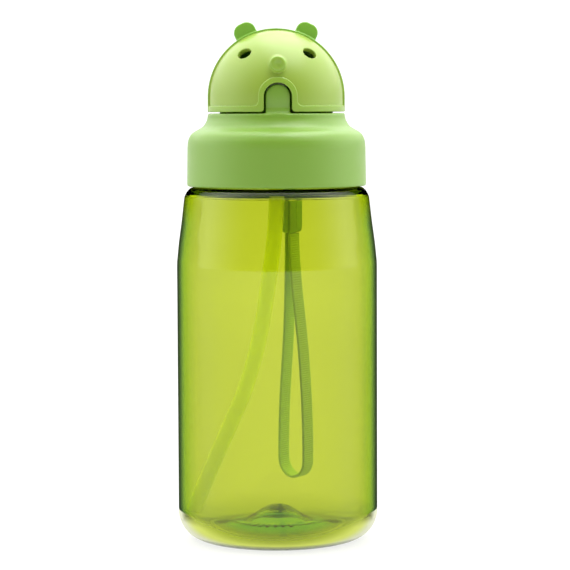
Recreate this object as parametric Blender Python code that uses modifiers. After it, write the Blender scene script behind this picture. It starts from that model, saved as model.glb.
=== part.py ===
"""A kids' water bottle, in metres, +Z up, standing on Z = 0 with its bear face looking to -Y.

A clear blow-moulded body carries a screw cap. A dome-shaped visor with the bear's face turns back
over the cap about the X axis and lets a soft folded spout spring up. A straw hangs from the spout,
and a woven wrist strap hangs from a lug on the back of the cap.
"""
import math

import bmesh
import bpy
from mathutils import Matrix, Vector

# Bottle body
BODY_R = 0.0365
BODY_WALL = 0.0018
BASE_CORNER_R = 0.0106
FLOOR_Z = 0.0034
STRAIGHT_TOP_Z = 0.102
NECK_R = 0.0276
NECK_BORE_R = 0.0258
NECK_TOP_Z = 0.1445

# Screw thread, right-handed
THREAD_PITCH = 0.004
THREAD_TURNS = 1.25
THREAD_ROOT_HALF = 0.0009
THREAD_CREST_HALF = 0.00045
NECK_THREAD_Z = 0.1345
NECK_THREAD_R = 0.0290
CAP_THREAD_Z = NECK_THREAD_Z - THREAD_PITCH / 2
CAP_THREAD_R = 0.0283

# Screw cap
CAP_BORE_R = 0.0302
CAP_BOTTOM_Z = 0.1294
DECK_UNDER_Z = 0.1464
DECK_TOP_Z = 0.1486
RIM_TOP_Z = 0.1558
DECK_HOLE_R = 0.0046

# Visor and the hood under it, both round the same centre
DOME_Z = 0.1616
VISOR_R = 0.0241
VISOR_BORE_R = 0.0223
VISOR_BAND_R = 0.02485
VISOR_BAND_TOP = -0.0032
VISOR_FOOT = -0.0054
RIDGE_R = 0.0251
RIDGE_HALF = 0.0010
HOOD_R = 0.0213
HOOD_WALL = 0.0016
HOOD_FRONT_Y = 0.0045
CHEEK_R = 0.0055
TRUNNION_R = 0.0022
TRUNNION_INNER_X = 0.0193
RUNNING_GAP = 0.0003

# The bear's face
MOUTH_HALF = 0.00497
MOUTH_TOP = 0.0050
LIP_HALF = 0.0069
LIP_TOP = 0.0070
TONGUE_HALF = 0.00435
TONGUE_TOP = 0.0044
EYE_X = 0.0118
EYE_Z = 0.0156
EYE_R = 0.0026
NOSE_Z = 0.0113
NOSE_R = 0.0028
NOSE_TIP_Y = -0.0244
EAR_R = 0.0040
EAR_DISTANCE = 0.0258
EAR_ANGLE = math.radians(25.7)
EAR_Y = (0.0010, 0.0035)

# Folding spout: each bend's place and each piece's lean forward from upright
SPOUT_R = 0.0037
SPOUT_BORE_R = 0.0022
LOWER_BEND_Z = 0.0071
MIDDLE_LENGTH = 0.0075
TIP_LENGTH = 0.0195
MIDDLE_LEAN = math.radians(38.4)
TIP_LEAN = math.radians(153.1)
SOCKET_R = 0.0032
SOCKET_Z = (0.138, 0.143)

# Straw
STRAW_R = 0.002875
STRAW_WALL = 0.0005
STRAW_ROUTE = [
    (0.0, 0.1426), (0.0, 0.1360), (0.0, 0.1295), (-0.0002, 0.1210), (-0.0010, 0.1100),
    (-0.0023, 0.0997), (-0.0040, 0.0882), (-0.0068, 0.0728), (-0.0114, 0.0564),
    (-0.0169, 0.0432), (-0.0221, 0.0316), (-0.0273, 0.0196), (-0.0314, 0.0099),
]

# Vent valve in the deck
VALVE_Y = 0.0125
VALVE_HOLE_R = 0.0022

# Wrist strap
LUG = Vector((0.0070, 0.0334, 0.1326))
LUG_HALF_WIDTH = 0.0016
LUG_R = 0.0023
LUG_HOLE_R = 0.00135
CORD_R = 0.00075
CORD_ARCH_R = 0.0026
SLEEVE_TOP = Vector((0.0070, 0.0376, 0.1246))
SLEEVE_BOTTOM = Vector((0.0070, 0.0397, 0.1103))
SLEEVE_WIDTH = 0.0080
SLEEVE_DEPTH = 0.0044
STRAP_TURN = math.radians(-45)
STRAP_LEAN = math.radians(3.3)
TAPE_WIDTH = 0.0060
TAPE_THICKNESS = 0.0012
LOOP_HALF = 0.0066
LOOP_LENGTH = 0.0941
LOOP_SWAY = 0.0018

TURN_STEPS = 40
FINE_STEPS = 48


# ---------------------------------------------------------------- helpers

def clear_scene():
    for obj in list(bpy.data.objects):
        bpy.data.objects.remove(obj, do_unlink=True)


def collection(name):
    group = bpy.data.collections.new(name)
    bpy.context.scene.collection.children.link(group)
    return group


def material(name, colour, roughness, transmission=0.0):
    mat = bpy.data.materials.new(name)
    mat.use_nodes = True
    shader = mat.node_tree.nodes["Principled BSDF"]
    shader.inputs["Base Color"].default_value = (*colour, 1.0)
    shader.inputs["Roughness"].default_value = roughness
    shader.inputs["Metallic"].default_value = 0.0
    shader.inputs["Transmission Weight"].default_value = transmission
    return mat


def place(obj, group, mat=None):
    """Put an object in its collection; one without a material is a tool for the others."""
    group.objects.link(obj)
    if mat is None:
        obj.hide_render = True
        obj.display_type = "WIRE"
        return obj
    obj.data.materials.append(mat)
    if obj.type == "MESH":
        obj.data.shade_smooth()
        obj.data.set_sharp_from_angle(angle=math.radians(35))
    return obj


def arc(centre_r, centre_z, radius, start, end, count):
    """Points on a circle in the profile plane, angles in degrees from +R towards +Z."""
    points = []
    for i in range(count + 1):
        angle = math.radians(start + (end - start) * i / count)
        points.append((centre_r + radius * math.cos(angle), centre_z + radius * math.sin(angle)))
    return points


def turned(name, profile, closed=False, steps=TURN_STEPS):
    """A profile in (radius, z), outer side running down, turned about the object's Z axis."""
    mesh = bpy.data.meshes.new(name)
    edges = [(i, i + 1) for i in range(len(profile) - 1)]
    if closed:
        edges.append((len(profile) - 1, 0))
    mesh.from_pydata([(r, 0.0, z) for r, z in profile], edges, [])
    obj = bpy.data.objects.new(name, mesh)
    screw = obj.modifiers.new("turn", "SCREW")
    screw.steps = steps
    screw.render_steps = steps
    screw.use_merge_vertices = True
    screw.merge_threshold = 0.00001
    return obj


def baked(obj, group, name, close=True):
    """The object's evaluated mesh as a plain mesh object, its open ends filled and normals out."""
    group.objects.link(obj)
    bpy.context.view_layer.update()
    graph = bpy.context.evaluated_depsgraph_get()
    mesh = bpy.data.meshes.new_from_object(obj.evaluated_get(graph))
    matrix = obj.matrix_world.copy()
    bpy.data.objects.remove(obj, do_unlink=True)
    shape = bmesh.new()
    shape.from_mesh(mesh)
    bmesh.ops.remove_doubles(shape, verts=shape.verts, dist=0.00001)
    holes = [edge for edge in shape.edges if edge.is_boundary]
    if close and holes:
        bmesh.ops.holes_fill(shape, edges=holes)
    bmesh.ops.recalc_face_normals(shape, faces=shape.faces)
    shape.to_mesh(mesh)
    shape.free()
    mesh.name = name
    result = bpy.data.objects.new(name, mesh)
    result.matrix_world = matrix
    return result


def plate(name, outline, thickness, group):
    """A flat outline in the object's XY plane, thickened to both sides."""
    curve = bpy.data.curves.new(name, "CURVE")
    curve.dimensions = "2D"
    curve.fill_mode = "BOTH"
    curve.extrude = thickness / 2
    spline = curve.splines.new("POLY")
    spline.points.add(len(outline) - 1)
    for point, (x, y) in zip(spline.points, outline):
        point.co = (x, y, 0.0, 1.0)
    spline.use_cyclic_u = True
    return baked(bpy.data.objects.new(name, curve), group, name)


def cylinder(name, radius, depth, steps=32, radius_top=None):
    shape = bmesh.new()
    top = radius if radius_top is None else radius_top
    bmesh.ops.create_cone(shape, cap_ends=True, segments=steps, radius1=radius, radius2=top, depth=depth)
    mesh = bpy.data.meshes.new(name)
    shape.to_mesh(mesh)
    shape.free()
    return bpy.data.objects.new(name, mesh)


def block(name, low, high):
    shape = bmesh.new()
    size = Vector(high) - Vector(low)
    centre = (Vector(high) + Vector(low)) / 2
    bmesh.ops.create_cube(shape, size=1.0, matrix=Matrix.Translation(centre) @ Matrix.Diagonal((*size, 1)))
    mesh = bpy.data.meshes.new(name)
    shape.to_mesh(mesh)
    shape.free()
    return bpy.data.objects.new(name, mesh)


def combine(obj, other, operation):
    step = obj.modifiers.new(operation.lower() + " " + other.name, "BOOLEAN")
    step.operation = operation
    step.object = other
    step.solver = "EXACT"


def bevel(obj, width, segments=2, angle=40):
    step = obj.modifiers.new("round edges", "BEVEL")
    step.width = width
    step.segments = segments
    step.limit_method = "ANGLE"
    step.angle_limit = math.radians(angle)


def aim(obj, position, direction):
    """Stand an object's Z axis along a direction at a position."""
    turn = Vector(direction).to_track_quat("Z", "Y").to_matrix().to_4x4()
    obj.matrix_world = Matrix.Translation(Vector(position)) @ turn


def smooth_route(points, per_span):
    """A Catmull-Rom curve through hand-chosen points."""
    route = [2 * points[0] - points[1], *points, 2 * points[-1] - points[-2]]
    result = []
    for i in range(1, len(route) - 2):
        a, b, c, d = route[i - 1:i + 3]
        for j in range(per_span):
            t = j / per_span
            result.append(0.5 * (2 * b + (c - a) * t + (2 * a - 5 * b + 4 * c - d) * t ** 2
                                 + (3 * b - a - 3 * c + d) * t ** 3))
    return result + [points[-1]]


def tube(name, points, radius, resolution, capped):
    curve = bpy.data.curves.new(name, "CURVE")
    curve.dimensions = "3D"
    curve.bevel_depth = radius
    curve.bevel_resolution = resolution
    curve.use_fill_caps = capped
    spline = curve.splines.new("POLY")
    spline.points.add(len(points) - 1)
    for node, point in zip(spline.points, points):
        node.co = (*point, 1.0)
    return bpy.data.objects.new(name, curve)


def thread_ridge(name, wall_r, crest_r, start_z, group):
    """A right-handed helical ridge rooted in a wall, as a closed body."""
    root, crest = THREAD_ROOT_HALF, THREAD_CREST_HALF
    profile = [(wall_r, start_z + root), (crest_r, start_z + crest),
               (crest_r, start_z - crest), (wall_r, start_z - root)]
    obj = turned(name, profile, closed=True)
    screw = obj.modifiers["turn"]
    screw.angle = 2 * math.pi * THREAD_TURNS
    screw.screw_offset = THREAD_PITCH * THREAD_TURNS
    screw.steps = round(TURN_STEPS * THREAD_TURNS)
    screw.render_steps = screw.steps
    return place(baked(obj, group, name), group)


def arch(half_width, top, bottom, count=12):
    """An upright outline with a round top, in (x, z)."""
    centre = top - half_width
    points = [(half_width, bottom)]
    points += arc(0.0, centre, half_width, 0, 180, count)
    return points + [(-half_width, bottom)]


def arch_prism(name, half_width, top, near_y, far_y, tools):
    """An arch in the dome's frame, extruded along Y."""
    prism = plate(name, arch(half_width, top, -0.012), far_y - near_y, tools)
    middle = Matrix.Translation((0.0, (near_y + far_y) / 2, DOME_Z))
    prism.matrix_world = middle @ Matrix.Rotation(math.radians(90), 4, "X")
    return place(prism, tools)


# ---------------------------------------------------------------- bottle

def body_profile():
    inner_corner = BASE_CORNER_R - BODY_WALL
    corner_r = BODY_R - BASE_CORNER_R
    inner_r = BODY_R - BODY_WALL
    floor = [(0.0, 0.0124), (0.0050, 0.0112), (0.0095, 0.0082), (0.0125, 0.0069), (0.0170, 0.0063),
             (0.0205, 0.0044), (0.0230, 0.0035)]
    inside = arc(corner_r, FLOOR_Z + inner_corner, inner_corner, -90, 0, 6)
    inside += [(inner_r, STRAIGHT_TOP_Z), (0.0339, 0.1092), (0.0329, 0.1165), (0.0320, 0.1238),
               (0.0316, 0.1256), (0.0302, 0.1269), (0.0266, 0.1276), (NECK_BORE_R, 0.1292)]
    lip = [(NECK_BORE_R, NECK_TOP_Z - 0.0004), (NECK_BORE_R + 0.0004, NECK_TOP_Z),
           (NECK_R - 0.0004, NECK_TOP_Z), (NECK_R, NECK_TOP_Z - 0.0004)]
    outside = [(NECK_R, 0.1300), (0.0282, 0.1292), (0.0303, 0.1290), (0.0315, 0.1286), (0.0326, 0.1275),
               (0.0334, 0.1260), (0.0337, 0.1246), (0.0347, 0.1165), (0.0357, 0.1092),
               (BODY_R, STRAIGHT_TOP_Z)]
    outside += arc(corner_r, BASE_CORNER_R, BASE_CORNER_R, 0, -90, 6)
    under = [(0.0225, 0.0), (0.0205, 0.0012), (0.0170, 0.0034), (0.0110, 0.0048), (0.0065, 0.0078),
             (0.0, 0.0098)]
    return floor + inside + lip + outside + under


def make_bottle(parts, tools, mat):
    body = turned("bottle_body", body_profile())
    ridge = thread_ridge("neck_thread", NECK_R - 0.0004, NECK_THREAD_R, NECK_THREAD_Z, tools)
    combine(body, ridge, "UNION")
    place(body, parts, mat)


# ---------------------------------------------------------------- screw cap

def cap_profile():
    outside = [(0.0232, RIM_TOP_Z), (0.0249, RIM_TOP_Z), (0.0250, 0.1545), (0.0254, 0.1531),
               (0.0262, 0.1516), (0.0281, 0.1501), (0.0294, 0.1494), (0.03125, 0.1480),
               (0.0320, 0.1465), (0.0323, 0.1450), (0.0324, 0.1436), (0.0326, 0.1304),
               (0.0323, CAP_BOTTOM_Z), (0.0305, CAP_BOTTOM_Z)]
    inside = [(CAP_BORE_R, 0.1298), (CAP_BORE_R, 0.1436), (0.0294, DECK_UNDER_Z),
              (DECK_HOLE_R, DECK_UNDER_Z), (DECK_HOLE_R, DECK_TOP_Z), (0.0222, DECK_TOP_Z),
              (0.0232, 0.1502)]
    return outside + inside


def make_hood(tools):
    """The shell that stays under the visor at the back, with two cheeks that hold its trunnions."""
    inner = HOOD_R - HOOD_WALL
    foot = DECK_TOP_Z - 0.0010 - DOME_Z
    profile = arc(0.0, 0.0, HOOD_R, 90, 0, 10) + [(HOOD_R, foot), (inner, foot)]
    profile += arc(0.0, 0.0, inner, 0, 90, 10)
    hood = turned("rear_hood", profile, steps=FINE_STEPS)
    hood.location = (0.0, 0.0, DOME_Z)
    front = block("hood_front", (-0.03, -0.03, DECK_TOP_Z - 0.004), (0.03, HOOD_FRONT_Y, DOME_Z + 0.03))
    cheeks = cylinder("cheek_discs", CHEEK_R, 0.07)
    aim(cheeks, (0.0, 0.0, DOME_Z), (1, 0, 0))
    pillars = block("cheek_pillars", (-0.035, -CHEEK_R, DECK_TOP_Z - 0.006), (0.035, 0.006, DOME_Z))
    bores = cylinder("trunnion_bores", TRUNNION_R + RUNNING_GAP, 0.06)
    aim(bores, (0.0, 0.0, DOME_Z), (1, 0, 0))
    combine(front, place(cheeks, tools), "DIFFERENCE")
    combine(front, place(pillars, tools), "DIFFERENCE")
    combine(hood, place(front, tools), "DIFFERENCE")
    combine(hood, place(bores, tools), "DIFFERENCE")
    return place(hood, tools)


def make_tongue(tools):
    """The arched panel that fills the bear's mouth, rising out of the cap's rim."""
    profile = arc(0.0, 0.0, 0.0234, 20, -8, 8)
    profile += [(0.0236, -0.0046), (0.0243, -0.0054), (0.0247, -0.0064), (0.0240, -0.0080),
                (0.0225, -0.0080)]
    profile += arc(0.0, 0.0, 0.0219, -14, 20, 8)
    tongue = turned("tongue", profile, closed=True, steps=96)
    tongue.location = (0.0, 0.0, DOME_Z)
    panel = arch_prism("tongue_outline", TONGUE_HALF, TONGUE_TOP, -0.03, -0.015, tools)
    combine(tongue, panel, "INTERSECT")
    return place(tongue, tools)


def make_lug(tools):
    """An eye on the back of the cap for the strap's cord, its hole along X."""
    lug = cylinder("strap_lug", LUG_R, 2 * LUG_HALF_WIDTH, 24)
    aim(lug, LUG, (1, 0, 0))
    web = block("lug_web", LUG + Vector((-LUG_HALF_WIDTH, -0.0027, -LUG_R)),
                LUG + Vector((LUG_HALF_WIDTH, 0.0, LUG_R)))
    hole = cylinder("lug_hole", LUG_HOLE_R, 0.01, 20)
    aim(hole, LUG, (1, 0, 0))
    combine(lug, place(web, tools), "UNION")
    combine(lug, place(hole, tools), "DIFFERENCE")
    return place(lug, tools)


def make_cap(parts, tools, mat):
    cap = turned("screw_cap", cap_profile(), closed=True)
    combine(cap, thread_ridge("cap_thread", CAP_BORE_R + 0.0004, CAP_THREAD_R, CAP_THREAD_Z, tools), "UNION")
    combine(cap, make_hood(tools), "UNION")
    combine(cap, make_tongue(tools), "UNION")
    combine(cap, make_lug(tools), "UNION")
    vent = cylinder("vent_hole", VALVE_HOLE_R, 0.01, 20)
    vent.location = (0.0, VALVE_Y, DECK_TOP_Z)
    combine(cap, place(vent, tools), "DIFFERENCE")
    place(cap, parts, mat)


def make_gasket(parts, mat):
    low, high = NECK_TOP_Z + RUNNING_GAP, DECK_UNDER_Z - RUNNING_GAP
    profile = [(0.0259, high), (0.0289, high), (0.0289, low), (0.0259, low)]
    place(turned("cap_gasket", profile, closed=True), parts, mat)


def make_vent_valve(parts, mat):
    top, under = DECK_TOP_Z + RUNNING_GAP, DECK_UNDER_Z - RUNNING_GAP
    stem = VALVE_HOLE_R - RUNNING_GAP
    profile = [(0.0, top + 0.0011), (0.0024, top + 0.0010), (0.0036, top + 0.0004), (0.0036, top),
               (stem, top), (stem, under), (0.0029, under), (0.0023, under - 0.0012),
               (0.0, under - 0.0016)]
    valve = turned("vent_valve", profile, steps=24)
    valve.location = (0.0, VALVE_Y, 0.0)
    place(valve, parts, mat)


# ---------------------------------------------------------------- visor

def visor_keep_outline():
    """The visor seen from its side, in (y, z): open behind, and round about the hinge."""
    reach = 0.035
    rear = -VISOR_FOOT
    return [(-reach, VISOR_FOOT), *arc(0.0, 0.0, rear, -90, 0, 8), (rear, reach), (-reach, reach)]


def make_ridge(tools):
    """The rib over the top of the visor from hinge to hinge."""
    root = VISOR_R - 0.0010
    profile = [(root, RIDGE_HALF), (RIDGE_R - 0.0003, RIDGE_HALF), (RIDGE_R, RIDGE_HALF - 0.0004),
               (RIDGE_R, 0.0004 - RIDGE_HALF), (RIDGE_R - 0.0003, -RIDGE_HALF), (root, -RIDGE_HALF)]
    ridge = turned("visor_ridge", profile, closed=True, steps=72)
    aim(ridge, (0.0, 0.0, DOME_Z), (0, 1, 0))
    return place(ridge, tools)


def make_ear(side, core, tools):
    middle = Vector((side * EAR_DISTANCE * math.sin(EAR_ANGLE), sum(EAR_Y) / 2,
                     DOME_Z + EAR_DISTANCE * math.cos(EAR_ANGLE)))
    ear = cylinder("left_ear" if side < 0 else "right_ear", EAR_R, EAR_Y[1] - EAR_Y[0], 28)
    aim(ear, middle, (0, 1, 0))
    bevel(ear, 0.0004)
    combine(ear, core, "DIFFERENCE")
    return place(ear, tools)


def make_visor(parts, tools, mat):
    below = VISOR_FOOT - 0.0005
    inner_foot = math.degrees(math.asin(below / VISOR_BORE_R))
    profile = arc(0.0, 0.0, VISOR_R, 90, 0, 12)
    profile += [(VISOR_R, VISOR_BAND_TOP), (VISOR_BAND_R, VISOR_BAND_TOP), (VISOR_BAND_R, below)]
    profile += arc(0.0, 0.0, VISOR_BORE_R, inner_foot, 90, 14)
    visor = turned("visor", profile, steps=FINE_STEPS)
    visor.location = (0.0, 0.0, DOME_Z)

    lip_foot = VISOR_BAND_TOP - 0.0004
    lip_shell = arc(0.0, 0.0, VISOR_BAND_R, 22, 0, 4) + [(VISOR_BAND_R, lip_foot)]
    lip_shell += [(VISOR_R - 0.0007, lip_foot)] + arc(0.0, 0.0, VISOR_R - 0.0007, 0, 22, 4)
    lip = turned("mouth_lip", lip_shell, closed=True, steps=96)
    lip.location = (0.0, 0.0, DOME_Z)
    combine(lip, arch_prism("lip_outline", LIP_HALF, LIP_TOP, -0.03, -0.015, tools), "INTERSECT")
    combine(visor, place(lip, tools), "UNION")
    combine(visor, make_ridge(tools), "UNION")

    core = turned("dome_core", arc(0.0, 0.0, VISOR_R - 0.0009, 90, -90, 24), steps=FINE_STEPS)
    core.location = (0.0, 0.0, DOME_Z)
    place(core, tools)
    for side in (-1, 1):
        combine(visor, make_ear(side, core, tools), "UNION")

    nose_root_y = -0.0200
    nose = cylinder("nose", NOSE_R, nose_root_y - NOSE_TIP_Y, 24)
    aim(nose, (0.0, (nose_root_y + NOSE_TIP_Y) / 2, DOME_Z + NOSE_Z), (0, 1, 0))
    bevel(nose, 0.0006)
    combine(visor, place(nose, tools), "UNION")

    for side in (-1, 1):
        trunnion = cylinder("left_trunnion" if side < 0 else "right_trunnion", TRUNNION_R,
                            VISOR_R - 0.0010 - TRUNNION_INNER_X)
        aim(trunnion, (side * (VISOR_R - 0.0010 + TRUNNION_INNER_X) / 2, 0.0, DOME_Z), (1, 0, 0))
        combine(visor, place(trunnion, tools), "UNION")
        gaze = Vector((side * EYE_X, -math.sqrt(VISOR_R ** 2 - EYE_X ** 2 - EYE_Z ** 2), EYE_Z))
        eye = cylinder("left_eye" if side < 0 else "right_eye", EYE_R, 0.008, 24)
        aim(eye, gaze + Vector((0.0, 0.0, DOME_Z)), gaze)
        combine(visor, place(eye, tools), "DIFFERENCE")

    combine(visor, arch_prism("mouth_outline", MOUTH_HALF, MOUTH_TOP, -0.03, -0.015, tools), "DIFFERENCE")
    keep = plate("visor_side_view", visor_keep_outline(), 0.06, tools)
    upright = Matrix(((0, 0, 1, 0), (1, 0, 0, 0), (0, 1, 0, 0), (0, 0, 0, 1)))
    keep.matrix_world = Matrix.Translation((0.0, 0.0, DOME_Z)) @ upright
    combine(visor, place(keep, tools), "INTERSECT")
    place(visor, parts, mat)


# ---------------------------------------------------------------- spout and straw

def lean_direction(lean):
    return Vector((0.0, -math.sin(lean), math.cos(lean)))


def make_spout(parts, mat):
    """One soft spout in three pieces, folded forward and down as it lies under the visor."""
    top = DOME_Z + LOWER_BEND_Z - 0.0009
    under, over = DECK_UNDER_Z - RUNNING_GAP, DECK_TOP_Z + RUNNING_GAP
    throat = DECK_HOLE_R - 0.0004
    profile = [(SPOUT_BORE_R, top), (SPOUT_R, top - 0.0004), (SPOUT_R, over + 0.0030),
               (0.0050, over + 0.0016), (0.0085, over + 0.0012), (0.0085, over), (throat, over),
               (throat, under), (0.0056, under), (0.0056, under - 0.0014), (throat, under - 0.0022),
               (throat, SOCKET_Z[0]), (SOCKET_R, SOCKET_Z[0]), (SOCKET_R, SOCKET_Z[1]),
               (SPOUT_BORE_R, SOCKET_Z[1])]
    place(turned("spout_base", profile, closed=True, steps=32), parts, mat)

    lower = Vector((0.0, 0.0, DOME_Z + LOWER_BEND_Z))
    upper = lower + MIDDLE_LENGTH * lean_direction(MIDDLE_LEAN)
    start, end = 0.0016, MIDDLE_LENGTH - 0.0016
    ring = [(0.0013, end), (0.0026, end), (0.0026, start), (0.0013, start)]
    middle = turned("spout_middle", ring, closed=True, steps=24)
    aim(middle, lower, lean_direction(MIDDLE_LEAN))
    place(middle, parts, mat)

    start, end = 0.0060, TIP_LENGTH
    outer = SPOUT_R - 0.0002
    ring = [(0.0016, end), (outer - 0.0007, end), (outer, end - 0.0008), (outer, start), (0.0016, start)]
    tip = turned("spout_tip", ring, closed=True, steps=24)
    aim(tip, upper, lean_direction(TIP_LEAN))
    place(tip, parts, mat)


def make_straw(parts, tools, mat):
    route = smooth_route([Vector((x, 0.0, z)) for x, z in STRAW_ROUTE], 2)
    straw = baked(tube("straw_skin", route, STRAW_R, 2, False), tools, "drinking_straw", close=False)
    wall = straw.modifiers.new("wall", "SOLIDIFY")
    wall.thickness = STRAW_WALL
    wall.offset = -1.0
    place(straw, parts, mat)


# ---------------------------------------------------------------- wrist strap

def make_strap_cord(parts, mat):
    """A thin cord through the lug, both of its ends going down into the sleeve."""
    crown = LUG + Vector((0.0, 0.0, 0.000275 - CORD_ARCH_R))
    half = [crown + CORD_ARCH_R * Vector((math.cos(a), 0.0, math.sin(a)))
            for a in (math.radians(x) for x in (90, 67, 45, 22, 0))]
    down = (SLEEVE_TOP - SLEEVE_BOTTOM).normalized()
    end = SLEEVE_TOP + down * RUNNING_GAP + Vector((0.0013, 0.0, 0.0))
    half += [crown + Vector((0.0024, 0.0010, -0.0016)), end + down * 0.0012 + Vector((0.0002, -0.0003, 0)), end]
    mirrored = [Vector((2 * LUG.x - p.x, p.y, p.z)) for p in reversed(half[1:])]
    route = smooth_route(mirrored + half, 2)
    place(tube("strap_cord", route, CORD_R, 2, True), parts, mat)


def make_sleeve(parts, mat):
    """The moulded sleeve that clamps the cord's ends and the tape's ends."""
    axis = SLEEVE_TOP - SLEEVE_BOTTOM
    sleeve = block("strap_sleeve", (-SLEEVE_DEPTH / 2, -SLEEVE_WIDTH / 2, -axis.length / 2),
                   (SLEEVE_DEPTH / 2, SLEEVE_WIDTH / 2, axis.length / 2))
    lean = math.atan2(-axis.y, axis.z)
    sleeve.matrix_world = (Matrix.Translation((SLEEVE_TOP + SLEEVE_BOTTOM) / 2)
                           @ Matrix.Rotation(lean, 4, "X") @ Matrix.Rotation(STRAP_TURN, 4, "Z"))
    bevel(sleeve, 0.0011, 3)
    place(sleeve, parts, mat)


def loop_half_width(depth):
    """Half the spread of the tape's two runs at a depth below the sleeve, round at the bottom."""
    opening = 0.0009 + (LOOP_HALF - 0.0009) * math.sin(math.pi / 2 * min(1.0, depth / 0.084)) ** 1.8
    left = LOOP_LENGTH - depth
    if left < LOOP_HALF:
        opening *= math.sqrt(max(0.0, 1 - (1 - left / LOOP_HALF) ** 2))
    return opening


def loop_sway(depth):
    """How far the whole loop hangs to one side at a depth below the sleeve."""
    return LOOP_SWAY * math.sin(math.pi / 2 * min(1.0, depth / 0.050)) ** 2


def loop_centreline():
    """The tape's centreline, in (across, down), down its left-hand run and up its right-hand one."""
    depths = [LOOP_LENGTH * 0.92 * i / 14 for i in range(15)]
    depths += [LOOP_LENGTH - LOOP_HALF * (1 - math.sin(math.radians(a))) for a in (0, 25, 45, 65, 80)]
    depths = sorted(depths) + [LOOP_LENGTH]
    left = [(loop_sway(d) - loop_half_width(d), -d) for d in depths[:-1]]
    right = [(loop_sway(d) + loop_half_width(d), -d) for d in reversed(depths)]
    return left + right


def make_webbing(parts, tools, mat):
    """A woven tape hanging in a long loop, its width square to the loop's plane."""
    path = [Vector((x, z, 0.0)) for x, z in loop_centreline()]
    sides = {1: [], -1: []}
    for i, point in enumerate(path):
        along = (path[min(i + 1, len(path) - 1)] - path[max(i - 1, 0)]).normalized()
        across = Vector((-along.y, along.x, 0.0))
        for side in sides:
            edge = point + side * across * TAPE_THICKNESS / 2
            sides[side].append((edge.x, edge.y))
    tape = plate("strap_webbing", sides[1] + sides[-1][::-1], TAPE_WIDTH, tools)
    top = SLEEVE_BOTTOM - Vector((0.0, 0.0, RUNNING_GAP))
    tape.matrix_world = (Matrix.Translation(top) @ Matrix.Rotation(STRAP_LEAN, 4, "X")
                         @ Matrix.Rotation(STRAP_TURN, 4, "Z") @ Matrix.Rotation(math.radians(90), 4, "X"))
    place(tape, parts, mat)


def main():
    clear_scene()
    parts = collection("kids_water_bottle")
    tools = collection("cutters")
    clear_green = material("clear green", (0.46, 0.60, 0.03), 0.05, 0.9)
    cap_green = material("cap green", (0.26, 0.45, 0.07), 0.38)
    silicone = material("soft silicone", (0.75, 0.78, 0.70), 0.45)
    straw_green = material("straw lime", (0.60, 0.68, 0.03), 0.25, 0.6)
    woven_green = material("woven green", (0.20, 0.42, 0.08), 0.85)

    make_bottle(parts, tools, clear_green)
    make_cap(parts, tools, cap_green)
    make_gasket(parts, silicone)
    make_vent_valve(parts, silicone)
    make_visor(parts, tools, cap_green)
    make_spout(parts, silicone)
    make_straw(parts, tools, straw_green)
    make_strap_cord(parts, woven_green)
    make_sleeve(parts, cap_green)
    make_webbing(parts, tools, woven_green)


main()
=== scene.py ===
"""Looks of a kids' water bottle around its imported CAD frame: a clear green body with a straw in it,
a moulded screw cap, a bear-faced visor over a soft folding spout, and a woven wrist strap."""

import math

import bmesh
import bpy
import numpy as np
from mathutils import Matrix, Vector


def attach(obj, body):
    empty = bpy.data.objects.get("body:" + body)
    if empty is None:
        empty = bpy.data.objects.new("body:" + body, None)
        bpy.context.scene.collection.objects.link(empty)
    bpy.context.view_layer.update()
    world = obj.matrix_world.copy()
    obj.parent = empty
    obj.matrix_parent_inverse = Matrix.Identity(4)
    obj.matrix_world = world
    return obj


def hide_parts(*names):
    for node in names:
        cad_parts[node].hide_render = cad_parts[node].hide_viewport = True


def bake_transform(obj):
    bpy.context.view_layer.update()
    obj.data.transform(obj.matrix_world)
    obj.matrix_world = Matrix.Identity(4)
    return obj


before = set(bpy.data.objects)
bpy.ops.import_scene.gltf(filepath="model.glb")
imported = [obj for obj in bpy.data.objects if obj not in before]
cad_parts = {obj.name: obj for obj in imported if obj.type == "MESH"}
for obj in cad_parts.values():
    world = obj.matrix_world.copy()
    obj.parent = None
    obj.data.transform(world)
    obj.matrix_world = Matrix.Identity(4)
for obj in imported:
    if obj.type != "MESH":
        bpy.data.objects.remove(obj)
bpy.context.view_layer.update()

MM = 0.001
DOME = 161.6          # the dome's centre and the visor's hinge, in mm above the table
COARSE = 1.0     # bigger cells while trying things
CELL_VISOR = 0.36 * COARSE     # mesh cell of the visor, in mm
CELL_CAP = 0.54 * COARSE       # mesh cell of the cap, in mm


# ---------------------------------------------------------------- camera

def add_camera():
    """A long lens in front of the bottle, about level with the cap's rim and a little to the left."""
    data = bpy.data.cameras.new("camera")
    data.lens = 145.2
    data.sensor_width = 36.0
    data.clip_start = 0.05
    camera = bpy.data.objects.new("camera", data)
    bpy.context.scene.collection.objects.link(camera)
    eye = Vector((-0.0205, -0.838, 0.1575))
    target = Vector((0.0029, 0.0001, 0.0931))
    aim = (target - eye).to_track_quat("-Z", "Y").to_matrix().to_4x4()
    camera.matrix_world = Matrix.Translation(eye) @ aim @ Matrix.Rotation(math.radians(-0.24), 4, "Z")
    bpy.context.scene.camera = camera


add_camera()


# ---------------------------------------------------------------- mesh helpers

def new_mesh(name, verts, faces, materials):
    """A smooth-shaded mesh object from points in metres."""
    mesh = bpy.data.meshes.new(name)
    mesh.from_pydata(np.asarray(verts, dtype=float).tolist(), [], [list(map(int, f)) for f in faces])
    mesh.polygons.foreach_set("use_smooth", [True] * len(mesh.polygons))
    for mat in materials:
        mesh.materials.append(mat)
    mesh.update()
    obj = bpy.data.objects.new(name, mesh)
    bpy.context.scene.collection.objects.link(obj)
    return obj


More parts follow.
